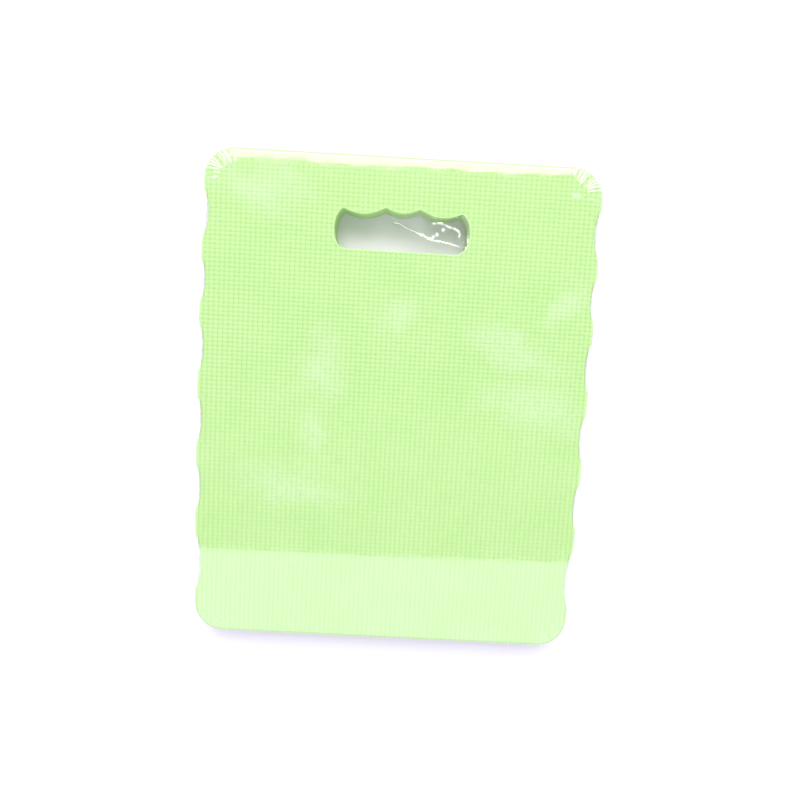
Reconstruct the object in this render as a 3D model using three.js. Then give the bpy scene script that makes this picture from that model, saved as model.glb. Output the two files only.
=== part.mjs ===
// A garden kneeling pad, shrink-wrapped for sale. One block of closed-cell foam, with scalloped long
// sides and a finger-grip handle opening, lies between two webs of clear film. The webs are welded
// together by a bead that runs round the pad's edge, and both are open at the handle.
//
// Millimetres. X runs across the pad, Y along it with the handle at +Y, and Z up from the surface
// that it lies on. The origin is under the middle of the pad.

import * as THREE from 'three';

// The foam pad
const PAD_WIDTH = 322;
const PAD_LENGTH = 400;
const PAD_THICKNESS = 30;
const CORNER_RADIUS = 24;
const EDGE_RADIUS = 2.5;

// The long sides bow out a little, and are scalloped: the crests are here, the first and last of
// them where the corners begin, with a valley half way between each two.
const SIDE_BOW = 2.6;
const CREST_Y = [176, 120, 70, 10.5, -47, -105, -176];
const VALLEY_DEPTH = 3.7;
const END_VALLEY_DEPTH = 4.4;

// The handle opening
const HANDLE_WIDTH = 108.5;
const HANDLE_LOWER_Y = 126;
const HANDLE_WIDEST_Y = 142;
const HANDLE_CORNER_RUN = 13;
const HANDLE_EDGE_RADIUS = 1;

// Its upper edge: a pointed recess at each of these places, and a round bulge between each two
const GRIP_RECESS_X = [47.75, 13.75, -13.75, -47.75];
const GRIP_RECESS_Y = 160;
const GRIP_ARCH = 2;
const GRIP_DEPTH_PER_PITCH = 0.145;
const GRIP_END_CONTROL_Y = 153;

// The film. It is drawn straight from crest to crest, and sinks only a little into each valley.
const FILM_THICKNESS = 0.3;
const GAP = 0.3;
const FILM_VALLEY_DEPTH = 1.1;
const FILM_BACK_FROM_HANDLE = 2;
const SEAM_WIDTH = 1;
const SEAM_HEIGHT = 0.8;

// How finely curves are divided. A scallop runs from one crest to the next.
const PAD_SCALLOP_STEPS = 8;
const FILM_SCALLOP_STEPS = 4;
const CORNER_STEPS = 6;
const EDGE_STEPS = 3;
const HANDLE_EDGE_STEPS = 2;
const GRIP_STEPS = 6;
const HANDLE_END_STEPS = 4;

const PAD_BOTTOM_Z = FILM_THICKNESS + GAP;
const PAD_TOP_Z = PAD_BOTTOM_Z + PAD_THICKNESS;
const MIDDLE_Z = PAD_BOTTOM_Z + PAD_THICKNESS / 2;

const materials = {
  foam: new THREE.MeshStandardMaterial({ color: 0xc2f285, roughness: 0.85, metalness: 0 }),
  film: new THREE.MeshStandardMaterial({
    color: 0xf4f8f4, roughness: 0.12, metalness: 0, transparent: true, opacity: 0.2,
  }),
  weld: new THREE.MeshStandardMaterial({
    color: 0xe9efe6, roughness: 0.25, metalness: 0, transparent: true, opacity: 0.45,
  }),
};

/** A quarter turn of points round a centre, its first point included and its last left out. */
function quarterTurn(centreX, centreY, startAngle) {
  return Array.from({ length: CORNER_STEPS }, (_, i) => {
    const angle = startAngle + (i / CORNER_STEPS) * (Math.PI / 2);
    return new THREE.Vector2(
      centreX + CORNER_RADIUS * Math.cos(angle),
      centreY + CORNER_RADIUS * Math.sin(angle),
    );
  });
}

/** How far the bowed side, without its scallops, lies from the middle of the pad. */
function sideX(y) {
  return PAD_WIDTH / 2 - SIDE_BOW * (y / (PAD_LENGTH / 2)) ** 2;
}

/**
 * The +X side from the -Y corner to the +Y corner, with valleys of these depths. A scallop is a wave
 * with flattened crests and valleys.
 */
function scallopedSide(valleyDepth, endValleyDepth, steps) {
  const points = [new THREE.Vector2(sideX(CREST_Y[0]), CREST_Y[0])];
  for (let crest = 1; crest < CREST_Y.length; crest += 1) {
    const atEnd = crest === 1 || crest === CREST_Y.length - 1;
    for (let step = 1; step <= steps; step += 1) {
      const t = step / steps;
      const y = THREE.MathUtils.lerp(CREST_Y[crest - 1], CREST_Y[crest], t);
      const wave = THREE.MathUtils.smoothstep((1 - Math.cos(2 * Math.PI * t)) / 2, 0, 1);
      const sunk = (atEnd ? endValleyDepth : valleyDepth) * wave;
      points.push(new THREE.Vector2(sideX(y) - sunk, y));
    }
  }
  return points.reverse();
}

/** The outline of the pad or of its film, anticlockwise from above. */
function padOutline(valleyDepth, endValleyDepth, steps) {
  const cornerY = PAD_LENGTH / 2 - CORNER_RADIUS;
  const cornerX = sideX(cornerY) - CORNER_RADIUS;
  const right = scallopedSide(valleyDepth, endValleyDepth, steps);
  const left = right.map((p) => new THREE.Vector2(-p.x, p.y)).reverse();
  return [
    ...right,
    ...quarterTurn(cornerX, cornerY, 0).slice(1),
    ...quarterTurn(-cornerX, cornerY, Math.PI / 2),
    ...left,
    ...quarterTurn(-cornerX, -cornerY, Math.PI).slice(1),
    ...quarterTurn(cornerX, -cornerY, Math.PI * 1.5),
  ];
}

/** The height of the upper edge's recesses, which lie on a gentle arch. */
function recessY(x) {
  return GRIP_RECESS_Y - GRIP_ARCH * (x / GRIP_RECESS_X[0]) ** 2;
}

/** The finger grips from the +X recess to the -X one, both included. */
function fingerGrips() {
  const points = [new THREE.Vector2(GRIP_RECESS_X[0], recessY(GRIP_RECESS_X[0]))];
  for (let grip = 1; grip < GRIP_RECESS_X.length; grip += 1) {
    const [from, to] = [GRIP_RECESS_X[grip - 1], GRIP_RECESS_X[grip]];
    const depth = GRIP_DEPTH_PER_PITCH * (from - to);
    for (let step = 1; step <= GRIP_STEPS; step += 1) {
      const t = step / GRIP_STEPS;
      const x = THREE.MathUtils.lerp(from, to, t);
      points.push(new THREE.Vector2(x, recessY(x) - depth * Math.sin(Math.PI * t)));
    }
  }
  return points;
}

/** The +X end of the handle opening, from its lower edge up to the first recess, both left out. */
function handleEnd() {
  const endX = HANDLE_WIDTH / 2;
  const lowerCorner = new THREE.QuadraticBezierCurve(
    new THREE.Vector2(endX - HANDLE_CORNER_RUN, HANDLE_LOWER_Y),
    new THREE.Vector2(endX, HANDLE_LOWER_Y),
    new THREE.Vector2(endX, HANDLE_WIDEST_Y),
  );
  const upperBow = new THREE.QuadraticBezierCurve(
    new THREE.Vector2(endX, HANDLE_WIDEST_Y),
    new THREE.Vector2(endX, GRIP_END_CONTROL_Y),
    new THREE.Vector2(GRIP_RECESS_X[0], recessY(GRIP_RECESS_X[0])),
  );
  return [
    ...lowerCorner.getPoints(HANDLE_END_STEPS),
    ...upperBow.getPoints(HANDLE_END_STEPS).slice(1, -1),
  ];
}

/** The handle opening, anticlockwise from above. */
function handleOutline() {
  const right = handleEnd();
  const left = right.map((p) => new THREE.Vector2(-p.x, p.y)).reverse();
  return [...right, ...fingerGrips(), ...left];
}

/** An anticlockwise outline moved outwards by a distance, or inwards by a negative one. */
function moved(outline, distance) {
  return outline.map((point, i) => {
    const before = outline[(i + outline.length - 1) % outline.length];
    const after = outline[(i + 1) % outline.length];
    const into = point.clone().sub(before).normalize();
    const outOf = after.clone().sub(point).normalize();
    const along = into.clone().add(outOf).normalize();
    const normal = new THREE.Vector2(along.y, -along.x);
    return point.clone().addScaledVector(normal, distance / into.dot(along));
  });
}

/** One ring of a loft: an outline moved outwards, at a height. */
function ring(outline, distance, z) {
  return moved(outline, distance).map((p) => [p.x, p.y, z]);
}

/**
 * A quarter round between a flat face and the side wall. It turns about the centre of the pad's own
 * edge, and starts on the flat face. up is 1 at the top face and -1 at the bottom one.
 */
function roundedEdge(outline, radius, edgeRadius, centreZ, up) {
  return Array.from({ length: EDGE_STEPS + 1 }, (_, i) => {
    const angle = (i / EDGE_STEPS) * (Math.PI / 2);
    const distance = radius * Math.sin(angle) - edgeRadius;
    return ring(outline, distance, centreZ + up * radius * Math.cos(angle));
  });
}

/**
 * A closed solid from two lofts, each a list of rings from the first flat face to the last: walls
 * round the outside, and openingRings round one opening. The first face looks up and the last down.
 */
function loftedSolid(walls, openingRings) {
  const rings = [...walls, ...openingRings];
  const starts = [];
  let count = 0;
  for (const points of rings) {
    starts.push(count);
    count += points.length;
  }
  const index = [];

  const strip = (a, b, size, facingOut) => {
    for (let i = 0; i < size; i += 1) {
      const j = (i + 1) % size;
      if (facingOut) index.push(a + i, b + i, b + j, a + i, b + j, a + j);
      else index.push(a + i, b + j, b + i, a + i, a + j, b + j);
    }
  };
  for (let i = 1; i < walls.length; i += 1) {
    strip(starts[i - 1], starts[i], walls[0].length, true);
  }
  for (let i = 1; i < openingRings.length; i += 1) {
    const at = walls.length + i;
    strip(starts[at - 1], starts[at], openingRings[0].length, false);
  }

  const face = (outerAt, openingAt, facingUp) => {
    const flat = (at) => rings[at].map(([x, y]) => new THREE.Vector2(x, y));
    const outer = flat(outerAt);
    const number = (i) => (i < outer.length
      ? starts[outerAt] + i
      : starts[openingAt] + (rings[openingAt].length - 1) - (i - outer.length));
    const opening = flat(openingAt).reverse();
    for (const [a, b, c] of THREE.ShapeUtils.triangulateShape(outer, [opening])) {
      if (facingUp) index.push(number(a), number(b), number(c));
      else index.push(number(a), number(c), number(b));
    }
  };
  face(0, walls.length, true);
  face(walls.length - 1, rings.length - 1, false);

  const geometry = new THREE.BufferGeometry();
  geometry.setAttribute('position', new THREE.Float32BufferAttribute(rings.flat(2), 3));
  geometry.setIndex(index);
  geometry.computeVertexNormals();
  return geometry;
}

/** The foam block, a little rounded at its edges and hardly at all round the handle opening. */
function foamPad() {
  const outline = padOutline(VALLEY_DEPTH, END_VALLEY_DEPTH, PAD_SCALLOP_STEPS);
  const upperZ = PAD_TOP_Z - EDGE_RADIUS;
  const lowerZ = PAD_BOTTOM_Z + EDGE_RADIUS;
  const walls = [
    ...roundedEdge(outline, EDGE_RADIUS, EDGE_RADIUS, upperZ, 1),
    ...roundedEdge(outline, EDGE_RADIUS, EDGE_RADIUS, lowerZ, -1).reverse(),
  ];

  const handle = handleOutline();
  const rim = HANDLE_EDGE_RADIUS;
  const handleEdge = (faceZ, up) => Array.from({ length: HANDLE_EDGE_STEPS + 1 }, (_, i) => {
    const angle = (i / HANDLE_EDGE_STEPS) * (Math.PI / 2);
    return ring(handle, rim * (1 - Math.sin(angle)), faceZ - up * rim * (1 - Math.cos(angle)));
  });
  const openingRings = [...handleEdge(PAD_TOP_Z, 1), ...handleEdge(PAD_BOTTOM_Z, -1).reverse()];
  return loftedSolid(walls, openingRings);
}

/** The skin of a film web from its flat face to its rim at the middle of the pad's edge. */
function filmSkin(outline, standOff, up) {
  const centreZ = up > 0 ? PAD_TOP_Z - EDGE_RADIUS : PAD_BOTTOM_Z + EDGE_RADIUS;
  return [
    ...roundedEdge(outline, EDGE_RADIUS + standOff, EDGE_RADIUS, centreZ, up),
    ring(outline, standOff, MIDDLE_Z + up * (GAP / 2)),
  ];
}

/** One web of film: a skin outside, a skin a film's thickness inside it, and an open handle. */
function filmWeb(up) {
  const outline = padOutline(FILM_VALLEY_DEPTH, FILM_VALLEY_DEPTH, FILM_SCALLOP_STEPS);
  const outside = filmSkin(outline, GAP + FILM_THICKNESS, up);
  const inside = filmSkin(outline, GAP, up);
  const walls = up > 0 ? [...outside, ...inside.reverse()] : [...inside, ...outside.reverse()];

  const handle = handleOutline();
  const upperZ = walls[0][0][2];
  const lowerZ = walls[walls.length - 1][0][2];
  const openingRings = [
    ring(handle, FILM_BACK_FROM_HANDLE, upperZ),
    ring(handle, FILM_BACK_FROM_HANDLE, lowerZ),
  ];
  return loftedSolid(walls, openingRings);
}

/** The welded bead round the edge: a band that narrows to a ridge half way up. */
function filmSeam() {
  const outline = padOutline(FILM_VALLEY_DEPTH, FILM_VALLEY_DEPTH, FILM_SCALLOP_STEPS);
  const inner = GAP + FILM_THICKNESS + GAP;
  const topZ = MIDDLE_Z + SEAM_HEIGHT / 2;
  const bottomZ = MIDDLE_Z - SEAM_HEIGHT / 2;
  const walls = [
    ring(outline, inner + SEAM_WIDTH / 2, topZ),
    ring(outline, inner + SEAM_WIDTH, MIDDLE_Z),
    ring(outline, inner + SEAM_WIDTH / 2, bottomZ),
  ];
  return loftedSolid(walls, [ring(outline, inner, topZ), ring(outline, inner, bottomZ)]);
}

function named(name, geometry, material) {
  const mesh = new THREE.Mesh(geometry, material);
  mesh.name = name;
  return mesh;
}

const kneelingPad = new THREE.Group();
kneelingPad.add(
  named('foam_pad', foamPad(), materials.foam),
  named('film_front', filmWeb(1), materials.film),
  named('film_back', filmWeb(-1), materials.film),
  named('film_seam', filmSeam(), materials.weld),
);

export default kneelingPad;
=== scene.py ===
"""A foam kneeling pad in clear shrink film, lying on a pale floor under soft studio light.

Metres, in the frame of the CAD model: X across the pad, Y along it with the handle at +Y, and Z up.
"""

import math

import bpy
import numpy as np
from mathutils import Matrix, Vector
from mathutils.geometry import delaunay_2d_cdt


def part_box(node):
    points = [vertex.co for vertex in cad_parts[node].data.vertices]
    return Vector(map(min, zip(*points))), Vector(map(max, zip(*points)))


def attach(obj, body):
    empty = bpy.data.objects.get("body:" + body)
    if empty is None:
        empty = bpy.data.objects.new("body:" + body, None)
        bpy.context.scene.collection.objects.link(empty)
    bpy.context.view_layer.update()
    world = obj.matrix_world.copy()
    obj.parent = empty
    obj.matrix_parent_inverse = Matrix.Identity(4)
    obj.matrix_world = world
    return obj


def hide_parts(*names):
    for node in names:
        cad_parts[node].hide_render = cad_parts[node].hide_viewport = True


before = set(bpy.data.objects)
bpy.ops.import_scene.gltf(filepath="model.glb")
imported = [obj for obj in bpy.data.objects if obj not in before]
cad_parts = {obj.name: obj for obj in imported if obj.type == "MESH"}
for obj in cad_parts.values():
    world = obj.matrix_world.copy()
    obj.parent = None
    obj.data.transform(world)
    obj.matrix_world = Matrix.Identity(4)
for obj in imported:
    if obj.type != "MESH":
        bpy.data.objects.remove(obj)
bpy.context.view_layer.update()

PAD_LOW, PAD_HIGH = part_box("foam_pad")
SEAM_LOW, SEAM_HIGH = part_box("film_seam")

# ---------------------------------------------------------------- sizes

# The foam pad's outline, as the CAD model has it
HALF_WIDTH = PAD_HIGH.x
HALF_LENGTH = PAD_HIGH.y
PAD_TOP = PAD_HIGH.z
PAD_BOTTOM = PAD_LOW.z
MIDDLE = (PAD_TOP + PAD_BOTTOM) / 2
CORNER_RADIUS = 0.024
EDGE_RADIUS = 0.0025
SIDE_BOW = 0.0026
CREST_Y = (0.176, 0.120, 0.070, 0.0105, -0.047, -0.105, -0.176)
VALLEY_DEPTH = 0.0037
END_VALLEY_DEPTH = 0.0044

# The handle opening
HANDLE_HALF_WIDTH = 0.05425
HANDLE_LOWER_Y = 0.126
HANDLE_WIDEST_Y = 0.142
HANDLE_CORNER_RUN = 0.013
HANDLE_EDGE_RADIUS = 0.0006
GRIP_RECESS_X = (0.04775, 0.01375, -0.01375, -0.04775)
GRIP_RECESS_Y = 0.160
GRIP_ARCH = 0.002
GRIP_DEPTH_PER_PITCH = 0.145
GRIP_END_CONTROL_Y = 0.153

# The embossed grid on the face: grooves both ways round small raised cells
CELL_X = 0.00403
CELL_Y = 0.00354
GROOVE_HALF = 0.24  # of a cell, from a groove's line to its shoulder
GROOVE_DEPTH = 0.00048
CELL_UNEVENNESS = 0.00004
SHALLOWER_FROM_TO_Y = (0.06, -0.06)  # towards the near end the grooves across the pad are shallower, and their painted shade weaker
SHALLOWER_BY = 0.4
FACE_WAVE = 0.00002
GRID_OFF_RIM = (-0.0004, 0.0008)  # over which distance from the handle's rim the grid comes in
GRID_ENDS_AT = (35, 75)  # how far down the rounded edge the grid fades out, in degrees
GROOVE_SHADE_SHARE = 0.35  # of the painted groove shade, in a groove away from the crossings
CUT_HOLLOW = 0.0004
CUT_STREAK = 0.00012

# The film
FILM_VALLEY_DEPTH = 0.0011
FILM_CLEARANCE = 0.00026
FILM_THICKNESS = 0.00008
FILM_BACK_FROM_HANDLE = 0.002
WELD_HALF = 0.00015
SLACK_ANGLES = (55, 80)  # how far down from the face the film over a scallop is painted white, as a painted reflection where it bridges the scallop
# How white the film over a scallop is painted, as a painted reflection
SLACK_REFLECTION = 0.5
PUCKER_LENGTH = 0.0036
PUCKER_FROM = 0.011  # from the centre of the rounded corner
PUCKER_FULL = 0.019
PUCKER_COMES_IN = (-0.003, 0.002)  # past that centre, across the pad and along it
PUCKER_SLANT = 70
PUCKER_MESH = 0.0012
PUCKER_SHARPNESS = 3
PUCKER_HEIGHT = 0.00014
# How white the pucker crests are painted: partly folded film, partly a painted highlight
PUCKER_WHITE_AND_HIGHLIGHT = 0.8
NEAR_END_PUCKER = 0.2
RIPPLE_FLAT = 0.000004
RIPPLE_EDGE = 0.000014
RIPPLE_GROWS = (0.022, 0.004)  # from this far inside the edge to this near it
BRIDGED = (0.0002, 0.0016)  # how far off a scallop's foam the film starts and ends to be slack
DIMPLE_SHARE = 0.35
DIMPLES_START = (6, 22)  # how far over the rounded edge, in degrees
DIMPLES_END = (55, 85)
TUCK_DEPTH = 0.0008
TUCK_AT_Y = (0.127, 0.150)  # from where it lies nearly flat to where it is tucked in fully
TUCK_LEAST = 0.03
TUCK_CRINKLE = 0.0001
TORN_X = (0.043, 0.052)
TORN_DEPTH = 0.006
TORN_CRINKLE = 0.0009

# The bead along the weld
SEAM_ROOT = 0.0008  # how far outside the foam it starts
SEAM_SIDES = 8
SEAM_STEP = 0.0012

# The torn flap of film in the handle opening: x and y of its free edge, of a ridge in it and of
# three blobs where it is crumpled most
FLAP_EDGE = ((-0.0063, 0.149), (-0.0017, 0.1485), (0.0021, 0.1457), (0.0068, 0.144),
             (0.011, 0.1425), (0.0136, 0.1414), (0.0184, 0.1394), (0.0226, 0.1376),
             (0.0257, 0.1365), (0.0304, 0.1363), (0.0357, 0.1353), (0.0414, 0.1341),
             (0.0469, 0.1325))
FLAP_RIDGE = ((0.0249, 0.1498), (0.0295, 0.1505), (0.0337, 0.1497), (0.0369, 0.1477),
              (0.0416, 0.147), (0.0443, 0.1452), (0.0469, 0.1437), (0.0461, 0.1407))
FLAP_BLOBS = ((0.0329, 0.1454), (0.0283, 0.1414), (0.0253, 0.1395))
FLAP_RIM_START = (-0.0080, 0.1560)
FLAP_RIM_END = (0.0532, 0.1310)
FLAP_OFF_WALL = 0.0005
FLAP_THICKENS_X = (0.009, 0.017)
FLAP_THIN_ROLL = 0.00025
FLAP_THICK_ROLL = 0.0011
FLAP_ROLL_START = -60  # degrees
FLAP_ROLL_END = 270
FLAP_SAG = 0.0036
FLAP_LIFTS_X = (0.004, 0.030)
FLAP_RIM_DROP = 0.0005
FLAP_CRUMPLE = 0.00025
FLAP_CRUMPLE_LEAST = 0.03  # of that, at its flat left end
FLAP_RIDGE_HEIGHT = 0.0008
FLAP_RIDGE_RADIUS = 0.00055
FLAP_RIDGE_POINTS = 60
FLAP_BLOB_HEIGHT = 0.0005
FLAP_BLOB_RADIUS = 0.0010

# How fine the meshes are
OUTLINE_STEP = 0.00125
CORNER_GAP = 0.0003  # at least, from the end of a rounded corner to the next point
EDGE_STEPS = 6
LOWER_EDGE_STEPS = 4
RIM_STEPS = 3
WALL_STEPS = 8
FACE_CLEAR = 0.0004  # how far the points inside the face and the back are from its outlines
BACK_CLEAR = 0.002
BACK_GRID = 0.008
FILM_STEP = 0.001
FILM_CORNER_STEP = 0.0006
FILM_GRID = 0.0032
FILM_GUARD = 0.0003  # from the outlines of the flat film to the rings that keep it flat there
FILM_EDGE_STEPS = 7
TUCK_STEPS = 8
FLAP_COLUMNS = 130
FLAP_ROWS = 44
FLAP_ROLL_STEPS = 8
FLAP_RIM_STEP = 0.0002
NEAR_OPENING = 0.01  # a triangle this near an opening may lie in it
SLIVER_AREA = 1e-12  # twice the area under which a triangle on a loop is left out
SAME_POINT = 1e-9
INSIDE_LOOPS = 1  # the kind of triangulation that keeps to what the loops enclose

random = np.random.default_rng(7)


# ---------------------------------------------------------------- outlines

def grid_lines(half_span, cell):
    """Where the mesh of the embossed face has its lines: on each groove and at its shoulders."""
    count = int(half_span / cell) + 1
    grooves = np.arange(-count, count + 1)[:, None] * cell
    lines = (grooves + np.array([0, GROOVE_HALF, 1 - GROOVE_HALF]) * cell).ravel()
    return np.sort(lines[np.abs(lines) < half_span - 0.1 * cell])


def smooth_step(value, low, high):
    t = np.clip((value - low) / (high - low), 0, 1)
    return t * t * (3 - 2 * t)


def side_x(y, valley_depth, end_valley_depth):
    """How far the scalloped side lies from the middle of the pad. The last scallop at each end has
    a depth of its own."""
    scallop = np.interp(-y, [-crest for crest in CREST_Y], range(len(CREST_Y)))
    wave = smooth_step((1 - np.cos(2 * np.pi * scallop)) / 2, 0, 1)
    at_end = np.abs(scallop - (len(CREST_Y) - 1) / 2) > (len(CREST_Y) - 3) / 2
    depth = np.where(at_end, end_valley_depth, valley_depth)
    return HALF_WIDTH - SIDE_BOW * (y / HALF_LENGTH) ** 2 - depth * wave


def corner_centre():
    """The centre of the rounded corner at +X +Y."""
    y = HALF_LENGTH - CORNER_RADIUS
    return float(side_x(np.array(y), 0, 0)) - CORNER_RADIUS, y


def corner(centre_x, centre_y, quarter, step):
    """The points of a rounded corner, ends included. quarter counts from the +X +Y corner."""
    count = max(4, round(CORNER_RADIUS * math.pi / 2 / step))
    angle = (quarter + np.arange(count + 1) / count) * math.pi / 2
    return np.stack([centre_x + CORNER_RADIUS * np.cos(angle),
                     centre_y + CORNER_RADIUS * np.sin(angle)], 1)


def pad_outline(valley_depths, rows, columns, step):
    """The outline, anticlockwise, with its points at these y on the sides and x on the ends."""
    corner_x, corner_y = corner_centre()
    rows = rows[np.abs(rows) < corner_y - CORNER_GAP]
    columns = columns[np.abs(columns) < corner_x - CORNER_GAP]
    right = np.stack([side_x(rows, *valley_depths), rows], 1)
    end = np.stack([columns, np.full_like(columns, HALF_LENGTH)], 1)
    return np.concatenate([
        right,
        corner(corner_x, corner_y, 0, step),
        end[::-1],
        corner(-corner_x, corner_y, 1, step),
        (right * (-1, 1))[::-1],
        corner(-corner_x, -corner_y, 2, step),
        end * (1, -1),
        corner(corner_x, -corner_y, 3, step),
    ])


def recess_y(x):
    return GRIP_RECESS_Y - GRIP_ARCH * (x / GRIP_RECESS_X[0]) ** 2


def quadratic(a, b, c, count=24):
    t = np.linspace(0, 1, count)[:, None]
    return (1 - t) ** 2 * np.array(a) + 2 * t * (1 - t) * np.array(b) + t ** 2 * np.array(c)


def handle_outline(step):
    """The handle opening, anticlockwise, with points this far apart."""
    end = HANDLE_HALF_WIDTH
    first = (GRIP_RECESS_X[0], recess_y(GRIP_RECESS_X[0]))
    right = np.concatenate([
        quadratic((end - HANDLE_CORNER_RUN, HANDLE_LOWER_Y), (end, HANDLE_LOWER_Y),
                  (end, HANDLE_WIDEST_Y)),
        quadratic((end, HANDLE_WIDEST_Y), (end, GRIP_END_CONTROL_Y), first)[1:],
    ])
    grips = []
    for start, stop in zip(GRIP_RECESS_X[:-1], GRIP_RECESS_X[1:]):
        t = np.linspace(0, 1, 40)[1:]
        x = start + (stop - start) * t
        depth = GRIP_DEPTH_PER_PITCH * (start - stop)
        grips.append(np.stack([x, recess_y(x) - depth * np.sin(np.pi * t)], 1))
    left = (right * (-1, 1))[::-1][1:]
    return evenly_spaced(np.concatenate([right, *grips, left]), step)


def evenly_spaced(loop, step):
    closed = np.concatenate([loop, loop[:1]])
    along = np.concatenate([[0], np.cumsum(np.linalg.norm(np.diff(closed, axis=0), axis=1))])
    count = round(along[-1] / step)
    at = np.arange(count) / count * along[-1]
    return np.stack([np.interp(at, along, closed[:, 0]), np.interp(at, along, closed[:, 1])], 1)


def normals_of(loop):
    """The outward normals of an anticlockwise loop."""
    along = np.roll(loop, -1, 0) - np.roll(loop, 1, 0)
    along /= np.linalg.norm(along, axis=1)[:, None]
    return np.stack([along[:, 1], -along[:, 0]], 1)


def inside(points, loop):
    """Which points lie inside a loop."""
    result = np.zeros(len(points), bool)
    x, y = points[:, 0], points[:, 1]
    for (ax, ay), (bx, by) in zip(loop, np.roll(loop, -1, 0)):
        crosses = (ay > y) != (by > y)
        with np.errstate(divide="ignore", invalid="ignore"):
            at = ax + (y - ay) * (bx - ax) / (by - ay)
        result ^= crosses & (x < at)
    return result


def distance_to(points, loop):
    """How far each point is from the nearest vertex of a loop."""
    best = np.full(len(points), np.inf)
    for vertex in loop:
        best = np.minimum(best, np.hypot(points[:, 0] - vertex[0], points[:, 1] - vertex[1]))
    return best


# ---------------------------------------------------------------- surface relief

def groove(position, cell):
    """1 along a groove's line, and 0 from its shoulder on."""
    off_line = np.abs((position / cell + 0.5) % 1.0 - 0.5)
    return np.clip(1 - off_line / GROOVE_HALF, 0, 1)


def face_wave(points):
    """The slight unevenness of the whole face, which the film follows too."""
    x, y = points[:, 0], points[:, 1]
    return FACE_WAVE * (np.sin(31 * x + 17 * y + 0.4) + np.sin(-23 * x + 37 * y + 2.1)) / 2


UNEVEN_ROWS, UNEVEN_COLUMNS = 128, 96
CELL_HEIGHTS = random.uniform(-1, 1, (UNEVEN_ROWS, UNEVEN_COLUMNS))


def cell_height(points):
    """Each cell stands a little higher or lower than the next."""
    row = np.floor(points[:, 1] / CELL_Y).astype(int) + UNEVEN_ROWS // 2
    column = np.floor(points[:, 0] / CELL_X).astype(int) + UNEVEN_COLUMNS // 2
    return CELL_UNEVENNESS * CELL_HEIGHTS[np.clip(row, 0, UNEVEN_ROWS - 1),
                                          np.clip(column, 0, UNEVEN_COLUMNS - 1)]


def cut_wall_relief(along, z):
    """How far the cut wall of the handle bulges. along goes from 0 to 1 round the opening."""
    turn = 2 * np.pi * along
    streaks = np.sin(61 * turn + 1.1) + np.sin(97 * turn + 400 * z) + np.sin(23 * turn - 250 * z)
    return -CUT_HOLLOW + CUT_STREAK * streaks / 3


def relief(points, share):
    """(height of the embossed grid, how much painted shade its grooves get) at these points of the
    unrolled face.
    """
    across, along = groove(points[:, 0], CELL_X), groove(points[:, 1], CELL_Y)
    on_cell = (1 - across) * (1 - along)
    across_groove_share = 1 - SHALLOWER_BY * smooth_step(points[:, 1], *SHALLOWER_FROM_TO_Y)
    height = cell_height(points) * on_cell - GROOVE_DEPTH * np.maximum(across, along * across_groove_share)
    # The painted shade is light along a groove and darkest where grooves cross. It is weaker in the
    # grooves across the pad towards the near end.
    depth = (GROOVE_SHADE_SHARE * np.maximum(across, along * across_groove_share ** 2)
             + (1 - GROOVE_SHADE_SHARE) * across * along * across_groove_share)
    return height * share, depth * share


# ---------------------------------------------------------------- meshes

def new_object(name, vertices, faces, material):
    mesh = bpy.data.meshes.new(name)
    mesh.from_pydata([tuple(v) for v in vertices], [], [tuple(f) for f in faces])
    mesh.validate()
    mesh.update()
    mesh.materials.append(material)
    mesh.polygons.foreach_set("use_smooth", [True] * len(mesh.polygons))
    obj = bpy.data.objects.new(name, mesh)
    bpy.context.scene.collection.objects.link(obj)
    return obj


def filled(outer, opening, inner_points):
    """The triangles, facing up, of the region between two loops, with these points in it."""
    points = np.concatenate([outer, opening, inner_points])
    first, second = len(outer), len(outer) + len(opening)
    edges = [(i, (i + 1) % first) for i in range(first)]
    edges += [(first + i, first + (i + 1) % len(opening)) for i in range(len(opening))]
    made = delaunay_2d_cdt([Vector(p) for p in points], edges, [], INSIDE_LOOPS, SAME_POINT, False)
    if len(made[0]) != len(points):
        raise RuntimeError(f"the loops cross: {len(points)} points became {len(made[0])}")
    triangles = np.array(made[2])
    in_opening = (triangles >= first).all(1) & (triangles < second).all(1)
    centres = points[triangles].mean(1)
    suspects = np.flatnonzero(in_opening | (distance_to(centres, opening) < NEAR_OPENING))
    drop = np.zeros(len(triangles), bool)
    drop[suspects] = inside(centres[suspects], opening)
    # Outside the outer loop, in its hollows and as slivers along its straight parts
    on_loop = np.flatnonzero((triangles < first).all(1))
    a, b, c = points[triangles[on_loop]].transpose(1, 0, 2)
    doubled = np.abs((b - a)[:, 0] * (c - a)[:, 1] - (b - a)[:, 1] * (c - a)[:, 0])
    drop[on_loop] |= (doubled < SLIVER_AREA) | ~inside(centres[on_loop], outer)
    return triangles[~drop]


def strip(start_a, start_b, count, facing_out=True):
    """The quads between two rings of the same count. From above, a lies over b."""
    i = np.arange(count)
    j = (i + 1) % count
    quads = np.stack([start_a + i, start_b + i, start_b + j, start_a + j], 1)
    return quads if facing_out else quads[:, ::-1]


class Shell:
    """Gathers the vertices, faces and one value per vertex of a closed mesh."""

    def __init__(self):
        self.vertices, self.values, self.faces, self.count = [], [], [], 0

    def add(self, vertices, values=None):
        """Adds vertices and returns the number of the first."""
        start = self.count
        self.vertices.append(np.asarray(vertices, float))
        self.values.append(np.zeros(len(vertices)) if values is None else np.asarray(values))
        self.count += len(vertices)
        return start

    def face(self, faces):
        self.faces += [tuple(int(i) for i in f) for f in faces]

    def build(self, name, material, value_name=None):
        obj = new_object(name, np.concatenate(self.vertices), self.faces, material)
        if value_name:
            attribute = obj.data.attributes.new(value_name, "FLOAT", "POINT")
            attribute.data.foreach_set("value", np.concatenate(self.values).astype(np.float32))
        return obj


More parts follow.
